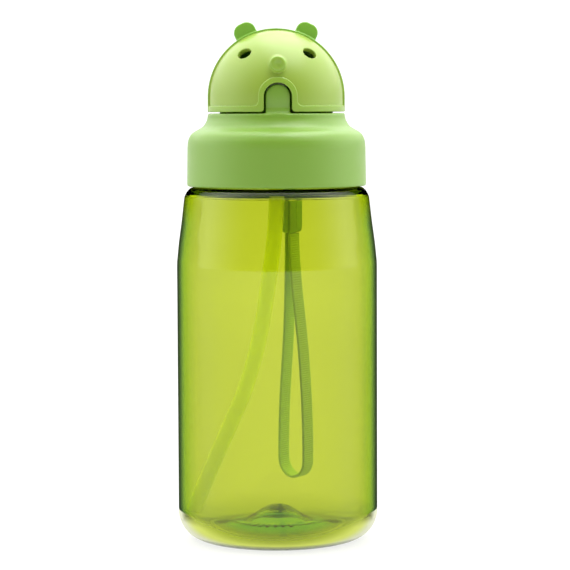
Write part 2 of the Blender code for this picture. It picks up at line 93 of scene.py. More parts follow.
def catmull(points, per_span):
    """A smooth curve through points of any dimension."""
    points = np.asarray(points, dtype=float)
    route = np.vstack([2 * points[0] - points[1], points, 2 * points[-1] - points[-2]])
    out = []
    for i in range(1, len(route) - 2):
        a, b, c, d = route[i - 1:i + 3]
        for j in range(per_span):
            t = j / per_span
            out.append(0.5 * (2 * b + (c - a) * t + (2 * a - 5 * b + 4 * c - d) * t ** 2
                              + (3 * b - a - 3 * c + d) * t ** 3))
    out.append(points[-1])
    return np.array(out)


def arc(centre, radius, start, end, count):
    """Points on a circle in the (r, z) plane, angles in degrees."""
    angles = np.radians(np.linspace(start, end, count + 1))
    return np.stack([centre[0] + radius * np.cos(angles), centre[1] + radius * np.sin(angles)], 1)


def spaced(points, step):
    """The same line with points no further apart than step."""
    out = [points[0]]
    for a, b in zip(points[:-1], points[1:]):
        count = max(1, int(math.ceil(np.linalg.norm(np.subtract(b, a)) / step)))
        out += [a + (b - a) * (k + 1) / count for k in range(count)]
    return np.array(out)


def lathe(name, profile, segments, materials, shape):
    """A profile in (r, z), in mm, turned about Z after shape has moved its grid of points; each face's row
    in the profile comes back too."""
    profile = np.asarray(profile, dtype=float)
    rows = len(profile)
    angles = np.linspace(0, 2 * math.pi, segments, endpoint=False)
    r = np.repeat(profile[:, :1], segments, 1)
    z = np.repeat(profile[:, 1:], segments, 1)
    a = np.repeat(angles[None, :], rows, 0)
    r, z = shape(r, z, a)
    grid = np.stack([r * np.cos(a), r * np.sin(a), z], 2).reshape(-1, 3) * MM
    verts, index = [], np.full((rows, segments), -1)
    for i in range(rows):
        if profile[i, 0] < 1e-6:
            index[i] = len(verts)
            verts.append(grid[i * segments] * (0, 0, 1))
        else:
            index[i] = np.arange(segments) + len(verts)
            verts.extend(grid[i * segments:(i + 1) * segments])
    faces, sources = [], []
    for i in range(rows - 1):
        for j in range(segments):
            m = (j + 1) % segments
            ring = [index[i, j], index[i + 1, j], index[i + 1, m], index[i, m]]
            ring = [v for n, v in enumerate(ring) if v not in ring[:n]]
            if len(ring) > 2:
                faces.append(ring)
                sources.append(i)
    return new_mesh(name, verts, faces, materials), np.array(sources)


def face_out(obj):
    """Turn a closed mesh's faces outwards."""
    shape = bmesh.new()
    shape.from_mesh(obj.data)
    bmesh.ops.recalc_face_normals(shape, faces=shape.faces)
    shape.to_mesh(obj.data)
    shape.free()


def tangents_along(path):
    """Unit tangents of a line of points."""
    t = np.gradient(np.asarray(path), axis=0)
    return t / np.linalg.norm(t, axis=1)[:, None]


# ---------------------------------------------------------------- distance fields, in mm

def smooth_min(a, b, k):
    """Two shapes joined, with a fillet about k wide."""
    h = np.clip(0.5 + 0.5 * (b - a) / k, 0, 1)
    return b * (1 - h) + a * h - k * h * (1 - h)


def smooth_max(a, b, k):
    """What two shapes share, its edge rounded about k wide."""
    return -smooth_min(-a, -b, k)


def arch_2d(x, z, half, top):
    """An upright band of half width half with a round top at top, endless below."""
    return np.hypot(x, np.maximum(z - (top - half), 0)) - half


def polygon_2d(r, z, points):
    """Signed distance to a closed polygon in (r, z), inside negative."""
    best = np.full(r.shape, 1e9)
    inside = np.zeros(r.shape, dtype=bool)
    for (ar, az), (br, bz) in zip(points, np.roll(points, -1, axis=0)):
        er, ez = br - ar, bz - az
        wr, wz = r - ar, z - az
        t = np.clip((wr * er + wz * ez) / (er * er + ez * ez), 0, 1)
        best = np.minimum(best, (wr - er * t) ** 2 + (wz - ez * t) ** 2)
        crosses = (az > z) != (bz > z)
        if abs(ez) > 1e-12:
            inside ^= crosses & (r < ar + er * (z - az) / ez)
    return np.where(inside, -1, 1) * np.sqrt(best)


def mesh_from_field(name, field, low, high, cell, materials, offset=(0, 0, 0)):
    """A closed quad mesh on a distance field's zero surface, its normals from the field."""
    axes = [np.arange(a, b + cell, cell) for a, b in zip(low, high)]
    values = field(*np.meshgrid(*axes, indexing="ij"))
    inside = values < 0
    blocks = [(a, b, c) for a in (0, 1) for b in (0, 1) for c in (0, 1)]
    shape = [n - 1 for n in inside.shape]

    def part(array, corner):
        return array[tuple(slice(c, c + n) for c, n in zip(corner, shape))]

    # one point in every cell that the surface crosses, at the mean of its cuts through the cell's edges
    count = sum(part(inside, c).astype(np.int8) for c in blocks)
    active = (count > 0) & (count < 8)
    index = np.full(active.shape, -1)
    index[active] = np.arange(active.sum())
    corner = {c: part(values, c)[active] for c in blocks}
    total, hits = np.zeros((active.sum(), 3)), np.zeros(active.sum())
    for a in blocks:
        for axis in range(3):
            if a[axis]:
                continue
            b = tuple(1 if n == axis else v for n, v in enumerate(a))
            cut = (corner[a] < 0) != (corner[b] < 0)
            t = np.where(cut, corner[a] / np.where(cut, corner[a] - corner[b], 1), 0)
            place = np.array(a, float)[None, :] + t[:, None] * (np.arange(3) == axis)
            total += place * cut[:, None]
            hits += cut
    points = np.array(low) + cell * (np.argwhere(active) + total / hits[:, None])

    # one quad round every grid edge that the surface cuts
    quads = []
    for axis in range(3):
        u, v = [(1, 2), (2, 0), (0, 1)][axis]
        ahead = [slice(1, -1)] * 3
        ahead[axis] = slice(1, None)
        behind = [slice(1, -1)] * 3
        behind[axis] = slice(0, -1)
        first, second = inside[tuple(behind)], inside[tuple(ahead)]
        for starts in (True, False):
            where = np.argwhere((first != second) & (first == starts))
            for n in range(3):
                if n != axis:
                    where[:, n] += 1
            ring = []
            for du, dv in ((-1, -1), (0, -1), (0, 0), (-1, 0)):
                step = [0, 0, 0]
                step[u], step[v] = du, dv
                at = where + step
                ring.append(index[at[:, 0], at[:, 1], at[:, 2]])
            if not starts:
                ring = ring[::-1]
            quads.append(np.stack(ring, 1))
    quads = np.vstack(quads)

    def gradient(p):
        """The field's slope at each point, over a short step either way."""
        h = 0.02
        x, y, z = p.T
        return np.stack([field(x + h, y, z) - field(x - h, y, z), field(x, y + h, z) - field(x, y - h, z),
                         field(x, y, z + h) - field(x, y, z - h)], 1) / (2 * h)

    def settle(p, rounds):
        """Points moved down the field's slope onto its surface, less than half a cell at a time."""
        for _ in range(rounds):
            g = gradient(p)
            step = (field(*p.T) / np.maximum((g * g).sum(1), 0.05))[:, None] * g
            size = np.linalg.norm(step, axis=1)[:, None]
            p = p - step * np.minimum(1, 0.4 * cell / np.maximum(size, 1e-9))
        return p

    # the points spread out evenly and go back onto the surface
    pairs = np.vstack([quads[:, [0, 1]], quads[:, [1, 2]], quads[:, [2, 3]], quads[:, [3, 0]]])
    valence = np.bincount(pairs.ravel(), minlength=len(points))[:, None]
    for _ in range(3):
        points = settle(points, 2)
        nearby = np.stack([np.bincount(pairs[:, 0], points[pairs[:, 1], k], len(points))
                           + np.bincount(pairs[:, 1], points[pairs[:, 0], k], len(points))
                           for k in range(3)], 1)
        points = points + 0.4 * (nearby / valence - points)
    points = settle(points, 3)

    # where the field's slope and the mesh disagree, as on a sharp edge, the mesh gives the normal
    normals = gradient(points)
    normals /= np.maximum(np.linalg.norm(normals, axis=1), 1e-6)[:, None]
    flat = np.cross(points[quads[:, 2]] - points[quads[:, 0]], points[quads[:, 3]] - points[quads[:, 1]])
    meshed = np.stack([sum(np.bincount(quads[:, c], flat[:, k], len(points)) for c in range(4))
                       for k in range(3)], 1)
    meshed /= np.maximum(np.linalg.norm(meshed, axis=1), 1e-9)[:, None]
    astray = (normals * meshed).sum(1) < 0.8
    normals[astray] = meshed[astray]
    obj = new_mesh(name, (points + np.array(offset)) * MM, quads, materials)
    obj.data.normals_split_custom_set_from_vertices(normals.tolist())
    return obj


# ---------------------------------------------------------------- materials

class Nodes:
    """Shorthand for building a tree of shader nodes."""

    def __init__(self, tree):
        self.tree = tree

    def add(self, kind, inputs=(), **settings):
        node = self.tree.nodes.new(kind)
        for key, value in settings.items():
            setattr(node, key, value)
        for key, value in dict(inputs).items():
            self.put(node.inputs[key], value)
        return node

    def put(self, socket, value):
        """Link a socket into an input, or set the input to a value or a colour."""
        if isinstance(value, bpy.types.NodeSocket):
            self.tree.links.new(value, socket)
        elif isinstance(value, tuple) and len(value) == 3 and socket.type == "RGBA":
            socket.default_value = (*value, 1.0)
        else:
            socket.default_value = value

    def math(self, operation, a, b=0.0):
        return self.add("ShaderNodeMath", {0: a, 1: b}, operation=operation).outputs[0]

    def span(self, value, low, high, at_low=0.0, at_high=1.0, smooth=False):
        """A value carried from one range to another and held at both ends."""
        return self.add("ShaderNodeMapRange", {"Value": value, "From Min": low, "From Max": high,
                                               "To Min": at_low, "To Max": at_high},
                        interpolation_type="SMOOTHSTEP" if smooth else "LINEAR").outputs[0]

    def mix(self, factor, a, b):
        return self.add("ShaderNodeMix", {0: factor, 6: a, 7: b}, data_type="RGBA").outputs[2]

    def ramp(self, factor, stops):
        node = self.add("ShaderNodeValToRGB", {0: factor})
        band = node.color_ramp
        while len(band.elements) < len(stops):
            band.elements.new(0.5)
        for element, (at, colour) in zip(band.elements, stops):
            element.position = at
            element.color = (*colour, 1.0)
        return node.outputs[0]

    def position(self):
        return self.add("ShaderNodeTexCoord").outputs["Object"]

    def coordinate(self, axis):
        """The shaded point's X, Y or Z in the object's own metres."""
        return self.add("ShaderNodeSeparateXYZ", {"Vector": self.position()}).outputs[axis]

    def attribute(self, name):
        return self.add("ShaderNodeAttribute", attribute_name=name).outputs["Fac"]

    def noise(self, scale, detail=2.0, roughness=0.5):
        node = self.add("ShaderNodeTexNoise", {"Vector": self.position(), "Scale": scale, "Detail": detail,
                                               "Roughness": roughness})
        return node.outputs["Fac"]

    def bump(self, height, strength, distance, after=None):
        node = self.add("ShaderNodeBump", {"Height": height, "Strength": strength, "Distance": distance})
        if after is not None:
            self.put(node.inputs["Normal"], after)
        return node.outputs["Normal"]

    def mixed(self, share, first, second):
        """A mix of two shader nodes, with this share of the second."""
        node = self.add("ShaderNodeMixShader", {"Fac": share})
        self.put(node.inputs[1], first.outputs[0])
        self.put(node.inputs[2], second.outputs[0])
        return node


class Material(Nodes):
    """A new material, with its Principled shader at hand."""

    def __init__(self, name):
        self.mat = bpy.data.materials.new(name)
        self.mat.use_nodes = True
        super().__init__(self.mat.node_tree)
        self.shader = self.tree.nodes["Principled BSDF"]
        self.out = self.tree.nodes["Material Output"]

    def principled(self, **values):
        for key, value in values.items():
            self.put(self.shader.inputs[key.replace("_", " ")], value)

    def with_surface(self, shader):
        self.put(self.out.inputs["Surface"], shader.outputs[0])
        return self.mat


def scaled(colour, by):
    """A colour made lighter or darker, with no channel over 1."""
    return tuple(min(1, c * by) for c in colour)


def moulded_plastic(name, colour, roughness=0.38, raised=None):
    """Opaque injection-moulded plastic with a faint satin texture. What stands out of the dome can get
    painted shade, a deeper green, the ears most of all."""
    n = Material(name)
    shade = n.mix(n.noise(45, 3), scaled(colour, 0.965), scaled(colour, 1.035))
    if raised:
        # painted shade: what stands out of the dome, the ears most, is mixed towards the deeper raised colour
        out = n.add("ShaderNodeVectorMath", {0: n.position(), 1: (0, 0, DOME * MM)}, operation="DISTANCE")
        proud = n.span(out.outputs["Value"], 24.15 * MM, 24.55 * MM)
        depth = n.span(n.coordinate("Z"), (DOME + 17.5) * MM, (DOME + 20.5) * MM, 0.30, 1.0)
        shade = n.mix(n.math("MULTIPLY", proud, depth), shade, raised)
    rough = n.span(n.noise(220, 3), 0.3, 0.7, roughness - 0.035, roughness + 0.035)
    grain = n.bump(n.noise(5200, 2), 0.25, 0.02 * MM)
    normal = n.bump(n.noise(90, 1), 0.12, 0.4 * MM, after=grain)
    n.principled(Base_Color=shade, Roughness=rough, Normal=normal, IOR=1.5,
                 Subsurface_Weight=0.12, Subsurface_Radius=(0.3, 1.0, 0.15), Subsurface_Scale=1.2 * MM,
                 Specular_IOR_Level=0.68, Coat_Weight=0.20, Coat_Roughness=0.40)
    glow = n.add("ShaderNodeBsdfTranslucent", {"Color": colour, "Normal": normal})
    return n.with_surface(n.mixed(0.10, n.shader, glow))


def clear_plastic(name):
    """Tinted clear plastic: the colour comes from the wall's thickness, and the outer skin loses its gloss
    and has painted shade that darkens it where it is seen at a graze, with a painted dark line there below
    the shoulder. The push-up gets a greener tint, the foot's corner a painted glow and the bottom millimetres
    a painted shadow where the bottle meets the floor."""
    n = Material(name)
    facing = n.add("ShaderNodeLayerWeight", {"Blend": 0.5}).outputs["Facing"]
    skin, corner = n.attribute("skin"), n.attribute("corner")
    x, y, height = [n.coordinate(axis) for axis in "XYZ"]
    radius = n.math("SQRT", n.math("ADD", n.math("MULTIPLY", x, x), n.math("MULTIPLY", y, y)))
    foot = n.span(height, 12.5 * MM, 7.0 * MM, smooth=True)
    punt = n.math("MULTIPLY", foot, n.span(radius, 27 * MM, 21 * MM, smooth=True))
    # painted shadow: the wall's bottom 3 mm is greyed and darkened where the bottle meets the floor
    painted_contact_shadow = n.span(height, 0.3 * MM, 2.8 * MM, 1.0, 0.0)

    # painted shade: the outer skin's tint darkens to near black where it is seen at a graze
    edge = n.ramp(facing, [(0.40, (1, 1, 1)), (0.525, (0.96, 1.0, 1.0)), (0.608, (0.90, 0.98, 1.0)),
                           (0.688, (0.79, 0.94, 0.97)), (0.757, (0.50, 0.63, 0.85)),
                           (0.86, (0.34, 0.38, 0.7)), (0.95, (0.10, 0.11, 0.2))])
    tint = n.mix(skin, (0.98, 0.98, 0.98), edge)
    tint = n.mix(punt, tint, (0.50, 0.92, 0.78))
    tint = n.mix(painted_contact_shadow, tint, (0.52, 0.60, 0.62))
    bump = n.bump(n.noise(38, 1), 0.10, 0.6 * MM)
    n.principled(Base_Color=tint, Roughness=0.0, IOR=1.5, Transmission_Weight=1.0, Normal=bump)
    glossless = n.add("ShaderNodeBsdfRefraction", {"Color": tint, "Roughness": 0.0, "IOR": 1.5,
                                                   "Normal": bump})
    wall = n.mixed(n.math("MULTIPLY", n.span(facing, 0.30, 0.58), skin), n.shader, glossless)

    # painted light: a yellow-green to whitish glow on the foot's corner, laid on as a diffuse layer
    glow = n.ramp(facing, [(0.30, (0.72, 0.84, 0.07)), (0.55, (0.78, 0.86, 0.20)),
                           (0.75, (0.80, 0.82, 0.60))])
    # painted shade: a dark green to black line on the skin where it is seen at a graze
    line = n.ramp(facing, [(0.60, (0.13, 0.42, 0.13)), (0.72, (0.07, 0.16, 0.05)),
                           (0.82, (0.03, 0.05, 0.02))])
    painted_glow_and_edge_shade_colour = n.mix(painted_contact_shadow, n.mix(corner, line, glow), (0.30, 0.34, 0.20))
    painted_glow_and_edge_shade = n.add("ShaderNodeBsdfDiffuse", {"Color": painted_glow_and_edge_shade_colour})
    # painted shade: the dark line covers the skin where it is seen at a graze, below the shoulder
    rim = n.ramp(facing, [(0.42, (0, 0, 0)), (0.64, (0.24, 0.24, 0.24)), (0.72, (0.60, 0.60, 0.60)),
                          (0.80, (0.88, 0.88, 0.88))])
    below_shoulder = n.span(height, 116 * MM, 124 * MM, 1.0, 0.0)
    rim = n.math("MULTIPLY", n.math("MULTIPLY", rim, below_shoulder), skin)
    # painted light: the glow covers the foot's corner at a graze, less near the floor
    off_floor = n.span(height, 0.6 * MM, 2.8 * MM, 0.15, 1.0)
    low = n.math("MULTIPLY", n.span(facing, 0.10, 0.48, 0.0, 0.85), off_floor)
    low = n.math("MULTIPLY", low, n.math("MULTIPLY", corner, foot))

    absorbs = (215.0, 172.0, 1080.0)                     # red, green and blue, per metre of wall
    density = max(absorbs)
    volume = n.add("ShaderNodeVolumeAbsorption", {"Color": tuple(1 - loss / density for loss in absorbs),
                                                  "Density": density})
    n.put(n.out.inputs["Volume"], volume.outputs[0])
    return n.with_surface(n.mixed(n.math("MAXIMUM", rim, low), wall, painted_glow_and_edge_shade))


def soft_silicone(name):
    """Soft rubber that scatters light inside."""
    n = Material(name)
    tone = n.mix(n.noise(60, 3), (0.60, 0.64, 0.52), (0.68, 0.71, 0.61))
    n.principled(Base_Color=tone, Roughness=0.42, Normal=n.bump(n.noise(3500, 2), 0.3, 0.02 * MM),
                 Subsurface_Weight=0.35, Subsurface_Radius=(1.0, 1.0, 0.7), Subsurface_Scale=2 * MM,
                 Sheen_Weight=0.15)
    return n.with_surface(n.shader)


def straw_plastic(name):
    """Thin lime plastic that lets light through, with more let through towards its top as painted light that
    brightens it there.
    """
    n = Material(name)
    tone = n.mix(n.noise(80, 2), (0.87, 0.91, 0.07), (0.92, 0.96, 0.10))
    n.principled(Base_Color=tone, Roughness=0.22, Normal=n.bump(n.noise(900, 2), 0.15, 0.03 * MM))
    glow = n.add("ShaderNodeBsdfTranslucent", {"Color": (0.94, 0.96, 0.10)})
    clear = n.add("ShaderNodeBsdfTransparent", {"Color": (0.93, 0.97, 0.46)})
    # painted light: a larger see-through share higher up, so the straw is brighter towards its top
    painted_light_see_through = n.span(n.coordinate("Z"), 20 * MM, 120 * MM, 0.40, 0.68)
    return n.with_surface(n.mixed(painted_light_see_through, n.mixed(0.35, n.shader, glow), clear))


def woven(name, colour):
    """Woven polyester: fine threads over the ribs that the mesh carries."""
    n = Material(name)
    threads = n.noise(4200, 2, 0.6)
    n.principled(Base_Color=n.mix(threads, scaled(colour, 0.72), scaled(colour, 1.25)), Roughness=0.82,
                 Normal=n.bump(threads, 0.6, 0.1 * MM), Sheen_Weight=0.5, Sheen_Roughness=0.4)
    return n.with_surface(n.shader)


CAP_GREEN = (0.230, 0.437, 0.038)
# the visor's green is the cap's plastic made lighter and yellower: painted light from above
VISOR_LIT_GREEN = (0.335, 0.495, 0.045)
# a deeper green for what stands out of the visor, the ears most: painted shade
RAISED_SHADED_GREEN = (0.235, 0.520, 0.034)
cap_plastic = moulded_plastic("cap_green_plastic", CAP_GREEN)
visor_plastic_with_painted_light = moulded_plastic("visor_green_with_painted_light_and_shade", VISOR_LIT_GREEN, 0.36, raised=RAISED_SHADED_GREEN)
clear_green = clear_plastic("clear_green_plastic")
silicone = soft_silicone("soft_silicone")
straw_mat = straw_plastic("lime_straw_plastic")
sleeve_mat = moulded_plastic("sleeve_green_plastic", (0.34, 0.58, 0.10))
tape_mat = woven("woven_green", (0.60, 0.84, 0.22))
cord_mat = woven("woven_cord", (0.22, 0.45, 0.10))

for node in ("cap_gasket", "vent_valve"):
    for material_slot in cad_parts[node].material_slots:
        material_slot.material = silicone


# ---------------------------------------------------------------- wrist strap

LUG = np.array([7.0, 33.4, 132.6])
SLEEVE_TOP = np.array([7.0, 37.6, 124.6])
SLEEVE_BOTTOM = np.array([7.0, 39.7, 110.3])
STRAP_TURN, STRAP_LEAN = math.radians(-45), math.radians(3.3)
LOOP_HALF, LOOP_LENGTH, LOOP_SWAY = 6.6, 94.1, 1.8
LOOP_PINCH, LOOP_OPEN = 0.9, 84       # half the gap at the sleeve, and the depth where it is widest
TAPE_WIDTH, TAPE_THICKNESS = 6.0, 1.2
RIB, RIB_STEPS = 0.85, 5              # pitch of the tape's ribs, in mm, and mesh steps for each


def loop_half_width(depth):
    """Half the gap between the loop's two runs, which closes round at the bottom."""
    opening = LOOP_PINCH
    opening += (LOOP_HALF - LOOP_PINCH) * math.sin(math.pi / 2 * min(1.0, depth / LOOP_OPEN)) ** 1.8
    left = LOOP_LENGTH - depth
    if left < LOOP_HALF:
        opening *= math.sqrt(max(0.0, 1 - (1 - left / LOOP_HALF) ** 2))
    return opening


def loop_sway(depth):
    """How far the loop's middle stands to one side."""
    return LOOP_SWAY * math.sin(math.pi / 2 * min(1.0, depth / 50)) ** 2


def loop_line():
    """The tape's centreline in its own plane, (across, down), down one run and up the other."""
    depths = [LOOP_LENGTH * 0.92 * i / 40 for i in range(41)]
    depths += [LOOP_LENGTH - LOOP_HALF * (1 - math.sin(math.radians(a))) for a in range(0, 90, 6)]
    depths = sorted(set(depths)) + [LOOP_LENGTH]
    left = [(loop_sway(d) - loop_half_width(d), -d) for d in depths[:-1]]
    right = [(loop_sway(d) + loop_half_width(d), -d) for d in depths[::-1]]
    return np.array(left + right)


def even(line, step):
    """The same line at even steps."""
    line = np.asarray(line)
    run = np.concatenate([[0], np.cumsum(np.linalg.norm(np.diff(line, axis=0), axis=1))])
    at = np.linspace(0, run[-1], max(2, int(round(run[-1] / step)) + 1))
    return np.stack([np.interp(at, run, line[:, k]) for k in range(line.shape[1])], 1)


def strap_matrix():
    """Where the tape hangs: just under the sleeve, turned about the vertical and leaning."""
    top = Vector(SLEEVE_BOTTOM * MM) - Vector((0, 0, 0.3 * MM))
    return (Matrix.Translation(top) @ Matrix.Rotation(STRAP_LEAN, 4, "X")
            @ Matrix.Rotation(STRAP_TURN, 4, "Z") @ Matrix.Rotation(math.radians(90), 4, "X"))


def make_tape():
    """The woven tape: cross ribs on both faces and a firm selvedge along each edge."""
    line = even(loop_line(), RIB / RIB_STEPS)
    along = tangents_along(line)
    across = np.stack([-along[:, 1], along[:, 0]], 1)
    run = np.arange(len(line)) * RIB / RIB_STEPS
    half = TAPE_WIDTH / 2
    stations = np.array([-1, -0.97, -0.90, -0.80, -0.70, -0.4, 0, 0.4, 0.70, 0.80, 0.90, 0.97, 1.0])
    ring = [(s * half, 1) for s in stations] + [(s * half, -1) for s in stations[::-1]]
    verts = np.zeros((len(line), len(ring), 3))
    rib = 0.5 + 0.5 * np.cos(2 * math.pi * run / RIB)
    for k, (w, side) in enumerate(ring):
        share = abs(w) / half
        edge = math.sqrt(max(0.0, 1 - max(0.0, (share - 0.80) / 0.20) ** 2))
        selvedge = 1.0 if 0.72 < share < 0.98 else 0.0
        thick = (TAPE_THICKNESS / 2) * (0.30 + 0.70 * edge)
        lift = -0.22 * (1 - rib) * (1 - 0.45 * selvedge)
        offset = side * (thick + lift * edge)
        wave = 0.05 * np.cos(2 * math.pi * run / RIB) * (share > 0.9)
        verts[:, k, 0] = line[:, 0] + across[:, 0] * offset
        verts[:, k, 1] = line[:, 1] + across[:, 1] * offset
        verts[:, k, 2] = 0.99 * w + np.sign(w) * wave
    count = len(ring)
    faces = []
    for i in range(len(line) - 1):
        for k in range(count):
            m = (k + 1) % count
            faces.append([i * count + k, i * count + m, (i + 1) * count + m, (i + 1) * count + k])
    faces.append(list(range(count))[::-1])
    faces.append([(len(line) - 1) * count + k for k in range(count)])
    tape = new_mesh("strap_tape", verts.reshape(-1, 3) * MM, faces, [tape_mat])
    face_out(tape)
    tape.data.transform(strap_matrix())
    path = [tuple(strap_matrix() @ Vector((x * MM, z * MM, 0))) for x, z in even(loop_line(), 1.5)]
    return tape, path


def tube_mesh(name, path, radius, sides, materials, bore=None):
    """A tube along a line, in mm; with a bore it is hollow and open at both ends."""
    path = np.asarray(path, float)
    tangents = tangents_along(path)
    up = np.array([0.0, 1.0, 0.0]) if abs(tangents[0][1]) < 0.9 else np.array([1.0, 0.0, 0.0])
    verts = []
    angles = np.linspace(0, 2 * math.pi, sides, endpoint=False)
    for p, t in zip(path, tangents):
        up = up - t * np.dot(up, t)
        up /= np.linalg.norm(up)
        side = np.cross(t, up)
        for r in ([radius] if bore is None else [radius, bore]):
            verts.append(p + r * (np.cos(angles)[:, None] * up + np.sin(angles)[:, None] * side))
    verts = np.vstack(verts)
    faces = []
    layers = 1 if bore is None else 2
    rows = len(path)

    def at(i, layer, k):
        return (i * layers + layer) * sides + k % sides

    for i in range(rows - 1):
        for k in range(sides):
            faces.append([at(i, 0, k), at(i, 0, k + 1), at(i + 1, 0, k + 1), at(i + 1, 0, k)])
            if bore is not None:
                faces.append([at(i, 1, k + 1), at(i, 1, k), at(i + 1, 1, k), at(i + 1, 1, k + 1)])
    if bore is None:
        faces.append([at(0, 0, k) for k in range(sides)][::-1])
        faces.append([at(rows - 1, 0, k) for k in range(sides)])
    else:
        for k in range(sides):
            faces.append([at(0, 0, k + 1), at(0, 0, k), at(0, 1, k), at(0, 1, k + 1)])
            faces.append([at(rows - 1, 0, k), at(rows - 1, 0, k + 1), at(rows - 1, 1, k + 1),
                          at(rows - 1, 1, k)])
    obj = new_mesh(name, verts * MM, faces, materials)
    face_out(obj)
    return obj


def make_cord():
    """The thin cord through the cap's lug, both ends going down into the sleeve."""
    radius, arch_r, above_lug = 0.75, 2.6, 0.275
    crown = LUG + (0, 0, above_lug - arch_r)
    half = [crown + arch_r * np.array([math.cos(a), 0, math.sin(a)])
            for a in np.radians([90, 67, 45, 22, 0])]
    down = (SLEEVE_TOP - SLEEVE_BOTTOM) / np.linalg.norm(SLEEVE_TOP - SLEEVE_BOTTOM)
    end = SLEEVE_TOP + down * 0.1 + (1.3, 0, 0)
    half += [crown + (2.4, 1.0, -1.6), end + down * 1.2 + (0.2, -0.3, 0), end]
    mirrored = [np.array([2 * LUG[0] - p[0], p[1], p[2]]) for p in half[:0:-1]]
    line = even(catmull(mirrored + half, 6), 0.25)
    return tube_mesh("strap_thin_cord", line, radius, 14, [cord_mat])


def make_sleeve():
    """The moulded sleeve that clamps the cord and the tape, with a fine groove down each broad face."""
    length = float(np.linalg.norm(SLEEVE_TOP - SLEEVE_BOTTOM))

    def field(x, y, z):
        taper = 0.5 * np.clip((-z - length / 2 + 3.0) / 3.0, 0, 1) ** 2
        qx, qy = np.abs(x) - (2.2 - taper - 0.6), np.abs(y) - (4.0 - taper - 0.6)
        qz = np.abs(z) - (length / 2 - 0.6)
        box = np.sqrt(np.maximum(qx, 0) ** 2 + np.maximum(qy, 0) ** 2 + np.maximum(qz, 0) ** 2)
        box = box + np.minimum(np.maximum(np.maximum(qx, qy), qz), 0) - 0.6
        groove = np.hypot(np.abs(y), np.abs(x) - 2.22) - 0.16
        return smooth_max(box, -groove, 0.12)

    reach = length / 2 + 0.6
    sleeve = mesh_from_field("strap_sleeve_shell", field, (-2.9, -4.6, -reach), (2.9, 4.6, reach), 0.22,
                             [sleeve_mat])
    axis = SLEEVE_TOP - SLEEVE_BOTTOM
    sleeve.data.transform(Matrix.Translation(Vector((SLEEVE_TOP + SLEEVE_BOTTOM) / 2 * MM))
                          @ Matrix.Rotation(math.atan2(-axis[1], axis[2]), 4, "X")
                          @ Matrix.Rotation(STRAP_TURN, 4, "Z"))
    return sleeve


tape, tape_path = make_tape()
thin_cord = make_cord()
sleeve = make_sleeve()
for piece, node, finish in ((tape, "strap_webbing", "woven_green"), (thin_cord, "strap_cord", "woven_green"),
                            (sleeve, "strap_sleeve", "cap_green_plastic")):
    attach(piece, "strap")
    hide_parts(node)


# ---------------------------------------------------------------- bottle

THREAD_PITCH, THREAD_TURNS = 4.0, 1.25
BARS, BAR_HEIGHT, BAR_RADIUS = 36, 0.60, 14.8         # plain bars in a ring under the base


def thread_lift(a, z, start, height, root, crest):
    """How far a helical ridge stands off a wall at angle a and height z; root and crest are half its width
    at the wall and at its top."""
    lift = np.zeros(a.shape)
    for turn in range(2):
        angle = a + 2 * math.pi * turn
        share = angle / (2 * math.pi)
        off = np.abs(z - start - THREAD_PITCH * share)
        fade = np.clip(np.minimum(share, THREAD_TURNS - share) / 0.03, 0, 1)
        lift = np.maximum(lift, height * np.clip((root - off) / (root - crest), 0, 1) * fade)
    return lift


def bottle_profile():
    """The wall's whole outline in (r, z), inside from the middle up and outside back down, and how many of
    its points are inside."""
    wall, foot, corner = 1.8, 25.9, 10.6
    inner_corner = corner - wall
    floor = catmull([(0, 12.4), (2.5, 12.15), (5.0, 11.2), (7.2, 9.75), (9.5, 8.2), (12.5, 6.9), (15, 6.45),
                     (17.0, 6.1), (19.0, 5.2), (20.5, 4.4), (23.0, 3.55)], 5)
    inside = [arc((foot, 3.4 + inner_corner), inner_corner, -90, 0, 14),
              spaced(np.array([(34.7, 12.3), (34.7, 100.0)]), 6.0)[1:],
              catmull([(34.7, 102.0), (33.9, 109.2), (32.9, 116.5), (32.0, 123.8), (31.6, 125.6),
                       (30.2, 126.9), (27.6, 127.5), (26.2, 128.3), (25.8, 129.6)], 5),
              spaced(np.array([(25.8, 130.2), (25.8, 144.1)]), 2.0)]
    lip = [arc((26.2, 144.1), 0.4, 180, 90, 3)[1:], arc((27.2, 144.1), 0.4, 90, 0, 3)]
    neck = [spaced(np.array([(27.6, 143.6), (27.6, 132.0)]), 0.28), np.array([(27.6, 131.0)])]
    shoulder = [catmull([(27.6, 130.2), (27.8, 129.5), (28.6, 129.12), (30.3, 129.0), (31.5, 128.6),
                         (32.6, 127.5), (33.4, 126.0), (33.75, 124.6), (34.7, 116.5), (35.7, 109.2),
                         (36.45, 102.0)], 5),
                spaced(np.array([(36.5, 100.0), (36.5, 11.4)]), 6.0), arc((foot, corner), corner, 0, -90, 16)]
    under = catmull([(foot, 0), (24.2, 0.0), (22.5, 0.15), (20.5, 1.2), (17.0, 3.4), (14.0, 4.3),
                     (11.0, 4.9), (8.7, 6.2), (6.5, 7.8), (3.4, 9.35), (0, 9.8)], 5)[1:]
    inner = np.vstack([floor, *inside])
    outer = np.vstack([*lip, *neck, *shoulder, under])
    return np.vstack([inner, outer]), len(inner)


